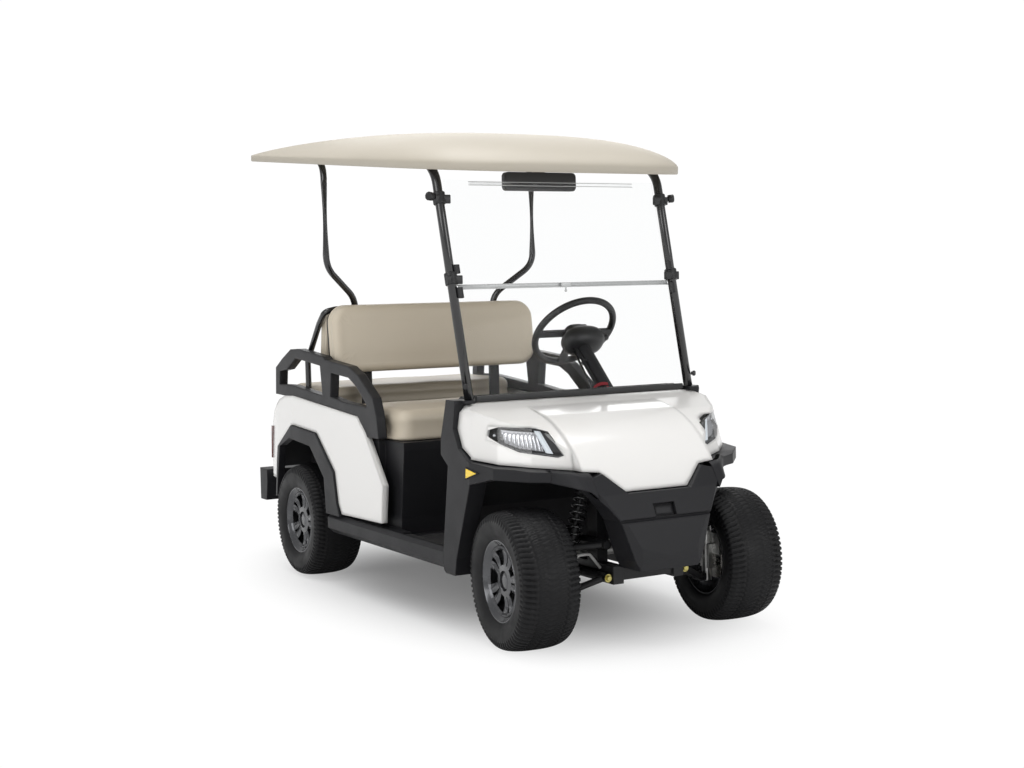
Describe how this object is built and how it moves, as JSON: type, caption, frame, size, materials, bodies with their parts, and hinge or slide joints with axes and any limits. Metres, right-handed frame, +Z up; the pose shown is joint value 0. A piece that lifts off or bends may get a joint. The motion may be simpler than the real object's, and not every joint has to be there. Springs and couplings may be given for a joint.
{
  "type": "golf cart",
  "caption": "Open electric golf cart with two back-to-back bench seats, domed roof on struts, folding windshield, steered front wheels and driven rear axle.",
  "frame": {"origin": "on the ground, below the middle of the cart's length and width", "axes": "+X forward, +Y to the driver's left, +Z up"},
  "size_m": [2.562, 1.0968, 1.8143],
  "materials": {
    "white_paint": "glossy moulded body colour",
    "charcoal": "satin moulded",
    "black_metal": "gloss black",
    "vinyl": "tan vinyl",
    "roof_beige": "satin",
    "clear_glazing": "clear acrylic",
    "lens": "clear lens",
    "red_lens": "red lens",
    "amber": "amber reflector",
    "tyre_rubber": "matt",
    "alloy": "gunmetal gloss",
    "steel": "machined and cast",
    "soft_black": "matt",
    "mirror_glass": "black gloss back"
  },
  "bodies": {
    "chassis": {"chassis_frame": "black_metal", "floor_pan": "charcoal", "sills": "charcoal", "front_fenders": "charcoal", "front_cowl": "white_paint", "headlights": "lens", "dash": "charcoal", "front_bumper": "charcoal", "side_reflectors": "amber", "rear_panels": "white_paint", "rear_arches": "charcoal", "seat_base": "charcoal", "rear_body": "charcoal", "rear_bumper": "charcoal", "armrests": "charcoal", "seat_cushion": "vinyl", "seat_backrest": "vinyl", "rear_cushion": "vinyl", "rear_backrest": "vinyl", "seat_frame": "black_metal", "roof": "roof_beige", "front_struts": "black_metal", "rear_struts": "black_metal", "grab_hoop": "black_metal", "windshield": "clear_glazing", "windshield_fittings": "charcoal", "mirror": "mirror_glass", "steering_column": "charcoal", "pedals": "black_metal", "suspension_arms": "black_metal", "coilovers": "steel", "steering_rack": "steel", "brake_hoses": "soft_black", "rear_axle": "steel", "rear_springs": "black_metal", "battery_pack": "soft_black", "tail_lights": "red_lens"},
    "steering_wheel": {"steering_wheel": "soft_black"},
    "rack": {"tie_rods": "steel"},
    "knuckle_right": {"knuckle_right": "steel"},
    "knuckle_left": {"knuckle_left": "steel"},
    "wheel_front_right": {"tyre_front_right": "tyre_rubber", "rim_front_right": "alloy"},
    "wheel_front_left": {"tyre_front_left": "tyre_rubber", "rim_front_left": "alloy"},
    "wheel_rear_right": {"tyre_rear_right": "tyre_rubber", "rim_rear_right": "alloy"},
    "wheel_rear_left": {"tyre_rear_left": "tyre_rubber", "rim_rear_left": "alloy"}
  },
  "joints": [
    {"name": "steer_right", "type": "hinge", "parent": "chassis", "child": "knuckle_right", "pos_m": [1.026, -0.33, 0.23], "axis": [0, 0, 1], "range_deg": [-22.5, 33.5]},
    {"name": "steer_left", "type": "hinge", "parent": "chassis", "child": "knuckle_left", "pos_m": [1.026, 0.33, 0.23], "axis": [0, 0, 1], "range_deg": [-22.6, 33.6]},
    {"name": "steering_wheel_turn", "type": "hinge", "parent": "chassis", "child": "steering_wheel", "pos_m": [0.366, 0.22, 1], "axis": [-0.7254, 0, 0.6884], "range_deg": [-271, 403]},
    {"name": "rack_slide", "type": "slide", "parent": "chassis", "child": "rack", "axis": [0, 1, 0], "range_m": [-0.04701, 0.03191]},
    {"name": "spin_front_right", "type": "hinge", "parent": "knuckle_right", "child": "wheel_front_right", "pos_m": [1.01915, -0.40117, 0.23], "axis": [0.0958, 0.9954, 0], "continuous": true},
    {"name": "spin_front_left", "type": "hinge", "parent": "knuckle_left", "child": "wheel_front_left", "pos_m": [1.03285, 0.40117, 0.23], "axis": [0.0958, 0.9954, 0], "continuous": true},
    {"name": "spin_rear_right", "type": "hinge", "parent": "chassis", "child": "wheel_rear_right", "pos_m": [-0.634, -0.4175, 0.23], "axis": [0, 1, 0], "continuous": true},
    {"name": "spin_rear_left", "type": "hinge", "parent": "chassis", "child": "wheel_rear_left", "pos_m": [-0.634, 0.4175, 0.23], "axis": [0, 1, 0], "continuous": true}
  ],
  "couplings": [
    {"joint": "steer_left", "follows": "steer_right", "ratio": 1},
    {"joint": "steering_wheel_turn", "follows": "steer_right", "ratio": 12},
    {"joint": "rack_slide", "follows": "steer_right", "m_per_rad": -0.0787}
  ]
}
